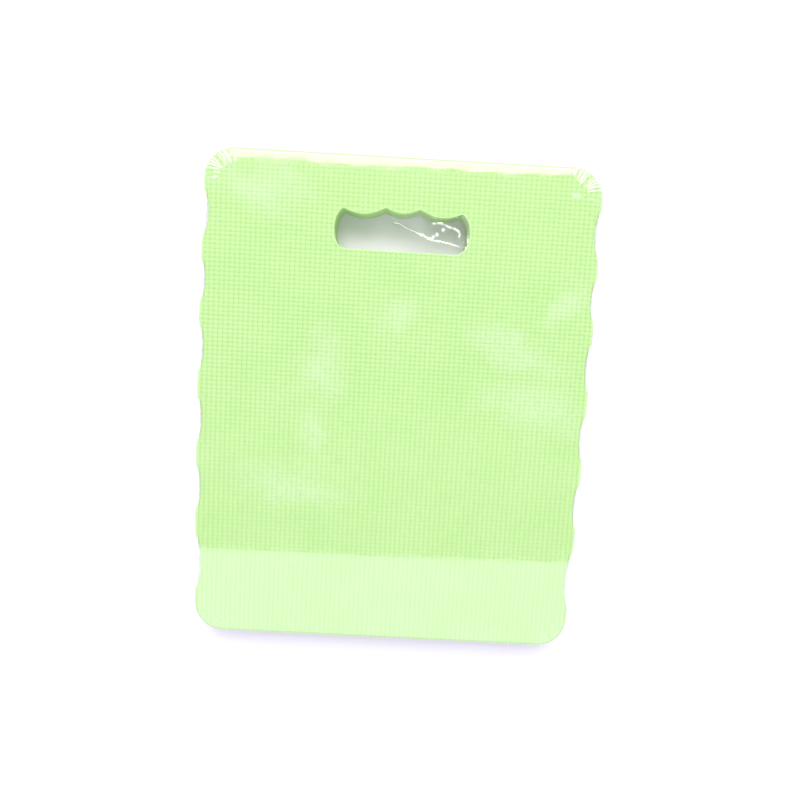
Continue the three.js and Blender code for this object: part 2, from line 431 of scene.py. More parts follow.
def grid_points(lines_x, lines_y, outer, opening, clear):
    """The points of a grid that lie between two loops, this far from both."""
    x, y = np.meshgrid(lines_x, lines_y)
    points = np.stack([x.ravel(), y.ravel()], 1)
    points = points[inside(points, outer) & ~inside(points, opening)]
    return points[(distance_to(points, outer) > clear) & (distance_to(points, opening) > clear)]


def foam_pad(material):
    """The foam block: an embossed face, rounded edges, a handle opening and a plain back."""
    lines_x, lines_y = grid_lines(HALF_WIDTH, CELL_X), grid_lines(HALF_LENGTH, CELL_Y)
    outline = pad_outline((VALLEY_DEPTH, END_VALLEY_DEPTH), lines_y, lines_x, OUTLINE_STEP)
    outward = normals_of(outline)
    handle = handle_outline(OUTLINE_STEP)
    away = normals_of(handle)
    shell = Shell()
    count, rim_count = len(outline), len(handle)
    rim_along = np.arange(rim_count) / rim_count

    # The flat part of the face, from where the edges and the handle's rim start to round off
    flat_outer = outline - outward * EDGE_RADIUS
    flat_rim = handle + away * HANDLE_EDGE_RADIUS
    inner = grid_points(lines_x, lines_y, flat_outer, flat_rim, FACE_CLEAR)
    plan = np.concatenate([flat_outer, flat_rim, inner])
    height, depth = relief(plan, smooth_step(distance_to(plan, flat_rim), *GRID_OFF_RIM))
    # Each vertex keeps how much painted shade it gets in the grooves.
    top = shell.add(np.column_stack([plan, PAD_TOP + face_wave(plan) + height]), depth)
    shell.face(filled(flat_outer, flat_rim, inner))

    # The upper rounding, on which the grid runs on and fades out towards the side
    above = top
    for step in range(1, EDGE_STEPS + 1):
        angle = step / EDGE_STEPS * math.pi / 2
        unrolled = flat_outer + outward * EDGE_RADIUS * angle
        share = 1 - smooth_step(np.full(count, angle), *map(math.radians, GRID_ENDS_AT))
        height, depth = relief(unrolled, share)
        reach = (EDGE_RADIUS + height) * math.sin(angle)
        rise = (EDGE_RADIUS + height) * math.cos(angle) - EDGE_RADIUS
        ring = flat_outer + outward * reach[:, None]
        wave = face_wave(flat_outer) * math.cos(angle)
        below = shell.add(np.column_stack([ring, PAD_TOP + rise + wave]), depth)
        shell.face(strip(above, below, count))
        above = below

    # The side and the lower rounding
    for step in range(LOWER_EDGE_STEPS, -1, -1):
        angle = step / LOWER_EDGE_STEPS * math.pi / 2
        ring = flat_outer + outward * EDGE_RADIUS * math.sin(angle)
        z = PAD_BOTTOM + EDGE_RADIUS * (1 - math.cos(angle))
        below = shell.add(np.column_stack([ring, np.full(count, z)]))
        shell.face(strip(above, below, count))
        above = below
    back_outer = above

    # The handle's wall. The die has left its edges almost sharp, and the cut foam a little uneven.
    above = top + count
    low, high = PAD_BOTTOM + HANDLE_EDGE_RADIUS, PAD_TOP - HANDLE_EDGE_RADIUS
    rings = [(step / RIM_STEPS * math.pi / 2, 1) for step in range(1, RIM_STEPS + 1)]
    rings += [(math.pi / 2, 1 - 2 * step / WALL_STEPS) for step in range(1, WALL_STEPS + 1)]
    rings += [(step / RIM_STEPS * math.pi / 2, -1) for step in range(RIM_STEPS - 1, -1, -1)]
    for angle, share in rings:
        z = (high + low) / 2 + (high - low) / 2 * share
        z += math.copysign(HANDLE_EDGE_RADIUS * math.cos(angle), share)
        bulge = cut_wall_relief(rim_along, z) * (1 - share ** 2)
        ring = flat_rim - away * (HANDLE_EDGE_RADIUS * math.sin(angle) + bulge[:, None])
        heights = z + face_wave(flat_rim) * (math.cos(angle) if share > 0 else 0)
        below = shell.add(np.column_stack([ring, np.broadcast_to(heights, rim_count)]))
        shell.face(strip(above, below, rim_count, facing_out=False))
        above = below
    back_rim = above

    # The plain back
    coarse = np.arange(-HALF_LENGTH, HALF_LENGTH, BACK_GRID)
    inner = grid_points(coarse, coarse, flat_outer, flat_rim, BACK_CLEAR)
    start = shell.add(np.column_stack([inner, np.full(len(inner), PAD_BOTTOM)]))
    numbers = np.concatenate([np.arange(count) + back_outer, np.arange(rim_count) + back_rim,
                              np.arange(len(inner)) + start])
    shell.face(numbers[filled(flat_outer, flat_rim, inner)][:, ::-1])
    # The groove attribute carries the painted shade in the grooves to the foam's material.
    return shell.build("foam_pad_embossed", material, "groove")


# ---------------------------------------------------------------- the film

def from_corner(plan):
    """How far points lie past the centre of their rounded corner, across and along the pad."""
    corner_x, corner_y = corner_centre()
    return np.abs(plan[:, 0]) - corner_x, np.abs(plan[:, 1]) - corner_y


def corner_points():
    """The points on which the film's corners are meshed, fine enough for their puckers."""
    radii = np.arange(PUCKER_FROM, CORNER_RADIUS - EDGE_RADIUS - 2 * FILM_GUARD, PUCKER_MESH)
    corner_x, corner_y = corner_centre()
    turns = np.linspace(0, np.pi / 2, round(CORNER_RADIUS * np.pi / 2 / FILM_CORNER_STEP) + 1)
    radius, turn = (grid.ravel() for grid in np.meshgrid(radii, turns))
    quarter = np.stack([corner_x + radius * np.cos(turn), corner_y + radius * np.sin(turn)], 1)
    return np.concatenate([quarter * (x, y) for x in (1, -1) for y in (1, -1)])


def corner_pucker(plan):
    """How high the film puckers where it was drawn together over a rounded corner of the pad. The
    weld was drawn tighter at the near end, so the puckers there are low."""
    from_x, from_y = from_corner(plan)
    around = np.arctan2(from_y, from_x)
    outness = np.hypot(np.maximum(from_x, 0), np.maximum(from_y, 0))
    uneven = 0.75 + 0.25 * np.sin(9 * around + 60 * plan[:, 0])
    in_corner = (smooth_step(outness, PUCKER_FROM, PUCKER_FULL * uneven)
                 * smooth_step(np.minimum(from_x, from_y), *PUCKER_COMES_IN))
    along = (around * CORNER_RADIUS / PUCKER_LENGTH + 0.7 * np.sin(4 * around + 20 * plan[:, 0])
             + PUCKER_SLANT * outness)
    ridge = (0.5 + 0.5 * np.cos(2 * np.pi * along)) ** PUCKER_SHARPNESS
    end = np.where(plan[:, 1] > 0, 1, NEAR_END_PUCKER)
    return PUCKER_HEIGHT * end * in_corner * ridge * (0.7 + 0.3 * np.sin(11 * around + 1))


def pucker_white_and_highlight(plan):
    """From 0 to about 1, how white the film is painted on its corner puckers: partly the whitening
    of film drawn into a fold, partly a painted highlight on the crests.
    """
    return PUCKER_WHITE_AND_HIGHLIGHT * corner_pucker(plan) / PUCKER_HEIGHT


def edge_ripple(plan):
    """The film's slight looseness, which grows towards the edges and lies at random."""
    x, y = plan[:, 0], plan[:, 1]
    to_edge = np.minimum(HALF_WIDTH - np.abs(x), HALF_LENGTH - np.abs(y))
    loose = RIPPLE_FLAT + (RIPPLE_EDGE - RIPPLE_FLAT) * smooth_step(to_edge, *RIPPLE_GROWS)
    return loose * (1 + np.sin(75 * x + 22 * y) * np.sin(148 * y - 130 * x + 1.3))


def off_foam(plan):
    """From 0 to 1, how far the film is from the foam at a side, where it bridges the scallops."""
    y = np.clip(plan[:, 1], -HALF_LENGTH + CORNER_RADIUS, HALF_LENGTH - CORNER_RADIUS)
    bridged = side_x(y, FILM_VALLEY_DEPTH, FILM_VALLEY_DEPTH) - side_x(
        y, VALLEY_DEPTH, END_VALLEY_DEPTH)
    on_side = np.abs(plan[:, 0]) > HALF_WIDTH - CORNER_RADIUS
    return np.where(on_side, smooth_step(bridged, *BRIDGED), 0)


def dimples(plan, angle):
    """How the film, pulled tight over the rounding, sinks between the foam's cells."""
    share = smooth_step(angle, *map(math.radians, DIMPLES_START))
    share *= 1 - smooth_step(angle, *map(math.radians, DIMPLES_END))
    return relief(plan, DIMPLE_SHARE * share * (1 - off_foam(plan)))[0]


def film_plan(side):
    """The flat part of a web, seen from above: its outline, its rim round the handle opening, and
    the points between them. The outline and the opening come with their outward normals."""
    lines_x, lines_y = grid_lines(HALF_WIDTH, CELL_X), grid_lines(HALF_LENGTH, CELL_Y)
    depths = (FILM_VALLEY_DEPTH, FILM_VALLEY_DEPTH)
    outline = pad_outline(depths, lines_y, lines_x, FILM_CORNER_STEP)
    outward = normals_of(outline)
    handle = handle_outline(FILM_STEP)
    away = normals_of(handle)
    flat_outer = outline - outward * EDGE_RADIUS
    flat_rim = handle + away * (HANDLE_EDGE_RADIUS if side > 0 else FILM_BACK_FROM_HANDLE)
    grid = np.arange(-HALF_LENGTH, HALF_LENGTH, FILM_GRID)
    spread = grid_points(grid, grid, flat_outer, flat_rim, FILM_GUARD * 3)
    from_x, from_y = from_corner(spread)
    spread = spread[(np.minimum(from_x, from_y) < -FILM_GUARD)
                    | (np.hypot(from_x, from_y) < PUCKER_FROM - FILM_GUARD)]
    inner = np.concatenate([flat_outer - outward * FILM_GUARD, flat_rim + away * FILM_GUARD,
                            spread, corner_points()])
    return flat_outer, outward, flat_rim, handle, away, inner


def tucked_rings(shell, flat_rim, handle, away, stand_off):
    """The rings of the front web round the handle's rim and down its wall. The web was cut by hand
    inside the opening, shrank down the wall, and tore at the right end."""
    turn = 2 * np.pi * np.arange(len(handle)) / len(handle)
    torn = smooth_step(handle[:, 0], *TORN_X)
    turned_in = TUCK_LEAST + (1 - TUCK_LEAST) * smooth_step(handle[:, 1], *TUCK_AT_Y)
    depth = TUCK_DEPTH * (1 + 0.35 * np.sin(5 * turn + 1) + 0.3 * np.sin(13 * turn)
                          + 0.25 * np.sin(29 * turn + 2)) + TORN_DEPTH * torn
    bend = HANDLE_EDGE_RADIUS + stand_off
    rings = []
    for step in range(1, RIM_STEPS + 1):
        angle = step / RIM_STEPS * math.pi / 2 * turned_in
        ring = flat_rim - away * (bend * np.sin(angle))[:, None]
        rim_z = PAD_TOP - HANDLE_EDGE_RADIUS + bend * np.cos(angle)
        rim_z += face_wave(flat_rim) + edge_ripple(flat_rim)
        rings.append(shell.add(np.column_stack([ring, rim_z])))
    for step in range(1, TUCK_STEPS + 1):
        share = step / TUCK_STEPS
        z = rim_z - depth * share * turned_in ** 3
        crinkle = 1 + np.sin(101 * turn + 1500 * z) * np.sin(47 * turn - 1300 * z + 2)
        lift = crinkle * share * (TUCK_CRINKLE + TORN_CRINKLE * torn)
        edge = ring - away * lift[:, None]
        # The crests of the torn crinkles are painted white, as painted highlights.
        rings.append(shell.add(np.column_stack([edge, z]), torn * (crinkle / 2) ** 2.5))
    return rings


def film_skin(shell, plan, side, stand_off):
    """Adds one face of a web, and returns the first vertices of its rings, out to the weld and in
    to the handle."""
    flat_outer, outward, flat_rim, handle, away, inner = plan
    flat = np.concatenate([flat_outer, flat_rim, inner])
    half_height = (PAD_TOP - PAD_BOTTOM) / 2
    count = len(flat_outer)

    def radius(base, angle):
        """How far the film is from the centre of the rounding, at this turn over it."""
        on_foam = EDGE_RADIUS + stand_off
        if side < 0:
            return on_foam + corner_pucker(base) * math.sin(angle)
        level = edge_ripple(base) + face_wave(base)
        return on_foam + corner_pucker(base) + level * math.cos(angle) + dimples(base, angle)

    up = radius(flat, 0) - EDGE_RADIUS + half_height
    rings = [shell.add(np.column_stack([flat, MIDDLE + side * up]), pucker_white_and_highlight(flat))]
    for step in range(1, FILM_EDGE_STEPS + 1):
        angle = step / FILM_EDGE_STEPS * math.pi / 2
        reach = radius(flat_outer + outward * EDGE_RADIUS * angle, angle)
        ring = flat_outer + outward * (reach * math.sin(angle))[:, None]
        up = reach * math.cos(angle) - EDGE_RADIUS + half_height
        # fold is how white the film is painted: on the puckers partly folded film and partly a
        # painted highlight, and over the scallops of the front web a painted reflection.
        slack = off_foam(ring) * (1 - smooth_step(angle, *map(math.radians, SLACK_ANGLES)))
        fold = np.clip(pucker_white_and_highlight(ring) + SLACK_REFLECTION * slack * (side > 0), 0, 1)
        rings.append(shell.add(np.column_stack([ring, MIDDLE + side * up]), fold))
    up = np.full(count, WELD_HALF)
    rings.append(shell.add(np.column_stack([ring, MIDDLE + side * up]), fold))
    rim_rings = [rings[0] + count]
    if side > 0:
        rim_rings += tucked_rings(shell, flat_rim, handle, away, stand_off)
    return rings, rim_rings


def film_web(name, material, side):
    """One web of film, as a thin closed shell. side is 1 for the front one and -1 for the back."""
    shell = Shell()
    plan = film_plan(side)
    flat_outer, _, flat_rim, _, _, inner_points = plan
    outer, outer_rim = film_skin(shell, plan, side, FILM_CLEARANCE + FILM_THICKNESS)
    inner, inner_rim = film_skin(shell, plan, side, FILM_CLEARANCE)
    triangles = filled(flat_outer, flat_rim, inner_points)
    facing = triangles if side > 0 else triangles[:, ::-1]
    shell.face(facing + outer[0])
    shell.face(facing[:, ::-1] + inner[0])
    for rings, back_rings, size, faces_out in ((outer, inner, len(flat_outer), side > 0),
                                               (outer_rim, inner_rim, len(flat_rim), side < 0)):
        for a, b in zip(rings[:-1], rings[1:]):
            shell.face(strip(a, b, size, faces_out))
        shell.face(strip(rings[-1], back_rings[-1], size, faces_out))
        for a, b in zip(back_rings[:-1], back_rings[1:]):
            shell.face(strip(b, a, size, faces_out))
    # The fold attribute holds how white the film is painted: partly folded film, partly painted
    # highlights and a painted reflection.
    return shell.build(name, material, "fold")


def seam_bead(name, material):
    """The thin, uneven bead of melted film round the edge, where the webs are welded."""
    along = np.arange(-0.2, 0.2, SEAM_STEP)
    outline = pad_outline((FILM_VALLEY_DEPTH, FILM_VALLEY_DEPTH), along, along, SEAM_STEP)
    outward = normals_of(outline)
    count = len(outline)
    turn = 2 * np.pi * np.arange(count) / count
    uneven = (np.sin(190 * turn + 3 * np.sin(23 * turn)) + np.sin(77 * turn + 1)
              + np.sin(41 * turn)) / 3
    width = (SEAM_HIGH.x - HALF_WIDTH - SEAM_ROOT) * (0.72 + 0.27 * uneven)
    height = (SEAM_HIGH.z - SEAM_LOW.z) / 2 * (0.75 + 0.2 * np.roll(uneven, 37))
    shell = Shell()
    rings = []
    for side in range(SEAM_SIDES):
        angle = 2 * math.pi * side / SEAM_SIDES
        reach = SEAM_ROOT + width * (1 + math.cos(angle)) / 2
        rings.append(shell.add(np.column_stack([
            outline + outward * reach[:, None], MIDDLE + height * math.sin(angle)])))
    for side in range(SEAM_SIDES):
        shell.face(strip(rings[(side + 1) % SEAM_SIDES], rings[side], count))
    return shell.build(name, material)


def smoothed(points, count):
    """A smooth open curve through about these points, with this many of its own."""
    points = np.array(points)
    along = np.concatenate([[0], np.cumsum(np.linalg.norm(np.diff(points, axis=0), axis=1))])
    at = np.linspace(0, along[-1], count)
    curve = np.stack([np.interp(at, along, points[:, i]) for i in range(2)], 1)
    for _ in range(count // 6):
        curve[1:-1] = (curve[:-2] + 2 * curve[1:-1] + curve[2:]) / 4
    return curve


def bump_at(points, centres, radius):
    """1 at the nearest of these centres, and falling off with this radius."""
    return np.exp(-(distance_to(points, centres) / radius) ** 2)


def film_flap(name, material):
    """A torn flap of film, which hangs into the opening from its right end and rolls up along its
    free edge. Its roll, its ridge and its blobs are painted white: partly the cloudiness of
    crumpled film, partly painted highlights."""
    rim_all = handle_outline(FLAP_RIM_STEP)
    first = np.argmin(np.hypot(*(rim_all - FLAP_RIM_START).T))
    last = np.argmin(np.hypot(*(rim_all - FLAP_RIM_END).T))
    rim = rim_all[last:first + 1][::-1]
    rim = rim - normals_of(rim_all)[last:first + 1][::-1] * FLAP_OFF_WALL
    rim = rim[np.linspace(0, len(rim) - 1, FLAP_COLUMNS).astype(int)]
    edge = smoothed(FLAP_EDGE, FLAP_COLUMNS)
    thick = smooth_step(edge[:, 0], *FLAP_THICKENS_X)
    roll = FLAP_THIN_ROLL + (FLAP_THICK_ROLL - FLAP_THIN_ROLL) * thick
    roll = roll * (1 + 0.25 * np.sin(900 * edge[:, 0]) + 0.2 * np.sin(2300 * edge[:, 0] + 1))
    edge_z = PAD_TOP - FLAP_SAG
    inwards = (rim - edge) / np.linalg.norm(rim - edge, axis=1)[:, None]
    ridge_line = smoothed(FLAP_RIDGE, FLAP_RIDGE_POINTS)

    def skin(lift):
        """The rows of one face, from the roll along the free edge to the rim."""
        rows = []
        for step in range(FLAP_ROLL_STEPS):
            turned = (FLAP_ROLL_END - FLAP_ROLL_START) * step / FLAP_ROLL_STEPS
            angle = math.radians(FLAP_ROLL_START + turned)
            size = (roll + lift)[:, None]
            place = edge - inwards * size * math.cos(angle)
            # The roll is painted white, partly as layered film and partly as a painted highlight
            # along it.
            rows.append((np.column_stack([place, edge_z + roll + size[:, 0] * math.sin(angle)]),
                         (0.3 + 0.7 * thick) * (0.7 + 0.3 * np.sin(2100 * edge[:, 0]))))
        for step in range(FLAP_ROWS + 1):
            share = step / FLAP_ROWS
            place = edge + (rim - edge) * share
            x, y = place[:, 0], place[:, 1]
            loose = (math.sin(math.pi * min(1, share * 1.1)) ** 0.5 if share < 0.9
                     else (1 - share) * 4)
            lifted = smooth_step(x, *FLAP_LIFTS_X)
            crumple = (np.sin(620 * x + 340 * y) + np.sin(1150 * y - 480 * x + 2)
                       + np.sin(1500 * x + 900 * y + 1) * 0.6) / 3
            crumple *= FLAP_CRUMPLE * loose * (
                FLAP_CRUMPLE_LEAST + (1 - FLAP_CRUMPLE_LEAST) * lifted)
            ridge = FLAP_RIDGE_HEIGHT * bump_at(place, ridge_line, FLAP_RIDGE_RADIUS)
            ridge *= 0.65 + 0.35 * np.sin(1100 * x + 500 * y)
            blobs = FLAP_BLOB_HEIGHT * bump_at(place, np.array(FLAP_BLOBS), FLAP_BLOB_RADIUS)
            rise = FLAP_SAG * (0.1 + 0.9 * lifted) * share ** 0.8 - FLAP_RIM_DROP * lifted * share
            z = edge_z + rise + crumple + (ridge + blobs) * (1 - share ** 4) - lift
            # The ridge and the blobs are painted white, as painted highlights on their crests.
            fold = np.clip(ridge / FLAP_RIDGE_HEIGHT + blobs / FLAP_BLOB_HEIGHT, 0, 1)
            rows.append((np.column_stack([place, z]), fold * (1 - share ** 4)))
        return rows

    shell = Shell()
    lower = [shell.add(*row) for row in skin(FILM_THICKNESS)]
    upper = [shell.add(*row) for row in skin(0)]
    i = np.arange(FLAP_COLUMNS - 1)

    def patch(a, b):
        shell.face(np.stack([a + i, a + i + 1, b + i + 1, b + i], 1))

    for a, b in zip(upper[:-1], upper[1:]):
        patch(a, b)
    for a, b in zip(lower[:-1], lower[1:]):
        patch(b, a)
    patch(lower[0], upper[0])
    patch(upper[-1], lower[-1])
    for end, flip in ((0, False), (FLAP_COLUMNS - 1, True)):
        for k in range(len(upper) - 1):
            quad = [upper[k] + end, upper[k + 1] + end, lower[k + 1] + end, lower[k] + end]
            shell.face([quad[::-1] if flip else quad])
    return shell.build(name, material, "fold")


# ---------------------------------------------------------------- materials

def nodes_of(name):
    material = bpy.data.materials.new(name)
    material.use_nodes = True
    tree = material.node_tree
    tree.nodes.clear()
    output = tree.nodes.new("ShaderNodeOutputMaterial")
    return material, tree, output


def feed(tree, socket, value):
    """Sets a socket to a number, vector or colour, or links another node's output to it."""
    if isinstance(value, (int, float, tuple)):
        socket.default_value = value
    else:
        tree.links.new(value, socket)


def noise(tree, coordinates, scale, detail=2.0, roughness=0.5, distortion=0.0, output="Fac"):
    node = tree.nodes.new("ShaderNodeTexNoise")
    node.inputs["Scale"].default_value = scale
    node.inputs["Detail"].default_value = detail
    node.inputs["Roughness"].default_value = roughness
    node.inputs["Distortion"].default_value = distortion
    tree.links.new(coordinates, node.inputs["Vector"])
    return node.outputs[output]


def ranged(tree, value, low, high, to_low, to_high, smooth=False):
    """The value, with low to high stretched to to_low to to_high, and held at those ends."""
    node = tree.nodes.new("ShaderNodeMapRange")
    node.interpolation_type = "SMOOTHSTEP" if smooth else "LINEAR"
    for socket, number in zip(("From Min", "From Max", "To Min", "To Max"),
                              (low, high, to_low, to_high)):
        node.inputs[socket].default_value = number
    tree.links.new(value, node.inputs["Value"])
    return node.outputs["Result"]


def math_node(tree, operation, *values):
    node = tree.nodes.new("ShaderNodeMath")
    node.operation = operation
    for socket, value in zip(node.inputs, values):
        feed(tree, socket, value)
    return node.outputs[0]


def vector_node(tree, operation, *values):
    node = tree.nodes.new("ShaderNodeVectorMath")
    node.operation = operation
    for socket, value in zip(node.inputs, values):
        feed(tree, socket, value)
    return node


def mixed_colour(tree, factor, a, b):
    node = tree.nodes.new("ShaderNodeMix")
    node.data_type = "RGBA"
    for socket, value in ((node.inputs[0], factor), (node.inputs[6], a), (node.inputs[7], b)):
        feed(tree, socket, value)
    return node.outputs[2]


def mixed_shader(tree, factor, a, b):
    node = tree.nodes.new("ShaderNodeMixShader")
    for socket, value in zip(node.inputs, (factor, a, b)):
        tree.links.new(value, socket)
    return node.outputs[0]


NOISE_SPAN = (0.3, 0.7)  # where most of a noise's values lie

FOAM_GREEN = (0.462, 0.662, 0.287, 1)
# Darker green for the pore speckle, and for the painted shade in the grooves
FOAM_SPECKLE_AND_SHADE_GREEN = (0.24, 0.50, 0.095, 1)
FOAM_PALE_GREEN = (0.482, 0.675, 0.307, 1)
MOTTLE_SCALE = 26
MOTTLE_SPAN = (0.35, 0.65)
PORE_SCALE = 2600
PORE_DEEPENS = 0.22
PORE_BUMP = 0.35
PORE_DEPTH = 0.00008
# How far the painted shade darkens the grooves
GROOVE_SHADE_STRENGTH = 0.85
FOAM_ROUGHNESS = (0.62, 0.82)


def foam_material():
    """Closed-cell foam: a matt skin of fine pores, with shade painted in darker down in the
    grooves.
    """
    material, tree, output = nodes_of("foam_lime")
    where = tree.nodes.new("ShaderNodeTexCoord").outputs["Object"]
    groove_shade_node = tree.nodes.new("ShaderNodeAttribute")
    groove_shade_node.attribute_name = "groove"
    mottle = noise(tree, where, MOTTLE_SCALE, detail=3)
    pores = noise(tree, where, PORE_SCALE, detail=2, roughness=0.6)
    paleness = ranged(tree, mottle, *MOTTLE_SPAN, 0, 1)
    skin = mixed_colour(tree, paleness, FOAM_GREEN, FOAM_PALE_GREEN)
    speckle = ranged(tree, pores, *NOISE_SPAN, 0, PORE_DEEPENS)
    speckled = mixed_colour(tree, speckle, skin, FOAM_SPECKLE_AND_SHADE_GREEN)
    # Painted shade: the foam is darkened down in the grooves, most where they cross.
    depth = ranged(tree, groove_shade_node.outputs["Fac"], 0, 1, 0, GROOVE_SHADE_STRENGTH)
    colour = mixed_colour(tree, depth, speckled, FOAM_SPECKLE_AND_SHADE_GREEN)
    shader = tree.nodes.new("ShaderNodeBsdfPrincipled")
    tree.links.new(colour, shader.inputs["Base Color"])
    roughness = ranged(tree, pores, *NOISE_SPAN, *FOAM_ROUGHNESS)
    tree.links.new(roughness, shader.inputs["Roughness"])
    bump = tree.nodes.new("ShaderNodeBump")
    bump.inputs["Strength"].default_value = PORE_BUMP
    bump.inputs["Distance"].default_value = PORE_DEPTH
    tree.links.new(pores, bump.inputs["Height"])
    tree.links.new(bump.outputs["Normal"], shader.inputs["Normal"])
    tree.links.new(shader.outputs[0], output.inputs["Surface"])
    return material


# How much one face of the film reflects, seen square on and edge on
FILM_GLOSS = (0.045, 0.9)
FILM_ROUGHNESS = (0.02, 0.06)
# The white of cloudy film, which also stands in for painted highlights and painted reflections
CLOUD_AND_SHEEN_WHITE = (0.95, 0.97, 0.95, 1)
CLOUD_ROUGHNESS = 0.35
SMEAR_SCALE = 60
SMEAR_SPAN = (0.4, 0.8)
STREAK_SCALE = 55
STREAK_HALF = 0.12
STREAK_LEAST = 0.45

# Where the film lies loose on the face and is painted lighter, partly as cloudiness and partly as a
# painted reflection: x, y, half its length along and across, and which way it runs
HAZE_AND_REFLECTION_PATCHES = (
    (-0.060, 0.030, 0.036, 0.020, math.radians(86)),
    (-0.063, -0.028, 0.020, 0.014, math.radians(90)),
    (-0.080, -0.069, 0.056, 0.020, math.radians(-8)),
    (-0.112, 0.172, 0.045, 0.020, 0.0),
    (0.120, 0.004, 0.046, 0.024, math.radians(-8)),
    (0.096, 0.052, 0.050, 0.017, math.radians(-20)),
    (0.138, 0.090, 0.024, 0.012, math.radians(55)),
    (0.002, 0.078, 0.015, 0.012, 0.0),
)
PATCH_HALF_HEIGHT = 0.02
PATCH_FADES = (0.15, 1.3)  # of its half length and width, from full to clear
RAGGED = 0.04  # how far the outlines of the patches are shifted about
RAGGED_SCALE = 30


def haze_and_reflection_patches(tree, where):
    """1 in the middle of each patch of loose film, painted cloudy and lighter as a painted
    reflection, and 0 outside them all.
    """
    ragged = noise(tree, where, RAGGED_SCALE, detail=3, output="Color")
    shift = vector_node(tree, "MULTIPLY_ADD", ragged, (RAGGED, RAGGED, 0),
                        (-RAGGED / 2, -RAGGED / 2, -PAD_TOP))
    shifted = vector_node(tree, "ADD", where, shift.outputs[0])
    total = None
    for x, y, along, across, angle in HAZE_AND_REFLECTION_PATCHES:
        into = tree.nodes.new("ShaderNodeMapping")
        into.vector_type = "TEXTURE"
        into.inputs["Location"].default_value = (x, y, 0)
        into.inputs["Rotation"].default_value = (0, 0, angle)
        into.inputs["Scale"].default_value = (along, across, PATCH_HALF_HEIGHT)
        tree.links.new(shifted.outputs[0], into.inputs["Vector"])
        length = vector_node(tree, "LENGTH", into.outputs[0]).outputs["Value"]
        patch = ranged(tree, length, *PATCH_FADES, 1, 0, smooth=True)
        total = patch if total is None else math_node(tree, "MAXIMUM", total, patch)
    return total


def film_haze_and_sheen(tree, where, haze_low, patch_haze_and_reflection, fold_white_and_highlight, smears):
    """How white the film is painted: a little by its cloudy smears, and more in its patches, partly
    cloudy and partly a painted reflection, and its folds, partly cloudy and partly painted
    highlights.
    """
    scales = noise(tree, where, STREAK_SCALE, detail=3, roughness=0.6, distortion=1.5)
    off_streak = math_node(tree, "ABSOLUTE", math_node(tree, "SUBTRACT", scales, 0.5))
    streaks = ranged(tree, off_streak, 0, STREAK_HALF, 1, STREAK_LEAST)
    in_patch = math_node(tree, "MULTIPLY", haze_and_reflection_patches(tree, where), streaks)
    fold_white_and_highlight_node = tree.nodes.new("ShaderNodeAttribute")
    fold_white_and_highlight_node.attribute_name = "fold"
    haze_and_sheen = math_node(tree, "ADD", ranged(tree, in_patch, 0, 1, 0, patch_haze_and_reflection),
                     ranged(tree, smears, *SMEAR_SPAN, 0, haze_low))
    return math_node(tree, "ADD", haze_and_sheen, ranged(tree, fold_white_and_highlight_node.outputs["Fac"], 0, 1, 0, fold_white_and_highlight))


def film_material(name, haze_low, patch_haze_and_reflection, fold_white_and_highlight):
    """Clear shrink film: see-through, more of a mirror the flatter it is seen, and white in smears,
    patches and folds, each up to the share given. The smears are cloudiness; in the patches and
    folds the white is partly cloudiness and partly a painted reflection and painted highlights."""
    material, tree, output = nodes_of(name)
    where = tree.nodes.new("ShaderNodeTexCoord").outputs["Object"]
    facing = tree.nodes.new("ShaderNodeLayerWeight")
    facing.inputs["Blend"].default_value = 0.5
    grazing = math_node(tree, "POWER", facing.outputs["Facing"], 5.0)
    gloss_share = ranged(tree, grazing, 0, 1, *FILM_GLOSS)
    smears = noise(tree, where, SMEAR_SCALE, detail=2)
    haze_and_sheen = film_haze_and_sheen(tree, where, haze_low, patch_haze_and_reflection, fold_white_and_highlight, smears)

    clear = tree.nodes.new("ShaderNodeBsdfTransparent")
    gloss = tree.nodes.new("ShaderNodeBsdfGlossy")
    gloss.inputs["Color"].default_value = (1, 1, 1, 1)
    roughness = ranged(tree, smears, *NOISE_SPAN, *FILM_ROUGHNESS)
    tree.links.new(roughness, gloss.inputs["Roughness"])
    cloud_and_sheen_shader = tree.nodes.new("ShaderNodeBsdfPrincipled")
    cloud_and_sheen_shader.inputs["Base Color"].default_value = CLOUD_AND_SHEEN_WHITE
    cloud_and_sheen_shader.inputs["Roughness"].default_value = CLOUD_ROUGHNESS
    surface = mixed_shader(tree, gloss_share, clear.outputs[0], gloss.outputs[0])
    cloudy = mixed_shader(tree, haze_and_sheen, surface, cloud_and_sheen_shader.outputs[0])
    tree.links.new(cloudy, output.inputs["Surface"])
    return material


FLOOR_TINTS = ((0.79, 0.735, 0.85, 1), (0.81, 0.755, 0.87, 1))
FLOOR_TINT_SCALE = 3
FLOOR_ROUGHNESS = 0.9


def floor_material():
    material, tree, output = nodes_of("pale_floor")
    where = tree.nodes.new("ShaderNodeTexCoord").outputs["Object"]
    shader = tree.nodes.new("ShaderNodeBsdfPrincipled")
    colour = mixed_colour(tree, noise(tree, where, FLOOR_TINT_SCALE), *FLOOR_TINTS)
    tree.links.new(colour, shader.inputs["Base Color"])
    shader.inputs["Roughness"].default_value = FLOOR_ROUGHNESS
    tree.links.new(shader.outputs[0], output.inputs["Surface"])
    return material


# ---------------------------------------------------------------- the object

foam = foam_material()
clear_film = film_material("clear_film", haze_low=0.012, patch_haze_and_reflection=0.08, fold_white_and_highlight=0.75)
weld_film = film_material("film_weld", haze_low=1.6, patch_haze_and_reflection=0.0, fold_white_and_highlight=0.3)
loose_film = film_material("loose_film", haze_low=0.04, patch_haze_and_reflection=0.0, fold_white_and_highlight=0.75)

pad = foam_pad(foam)
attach(pad, "root")
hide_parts("foam_pad")

front = film_web("film_front_web", clear_film, 1)
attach(front, "root")
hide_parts("film_front")

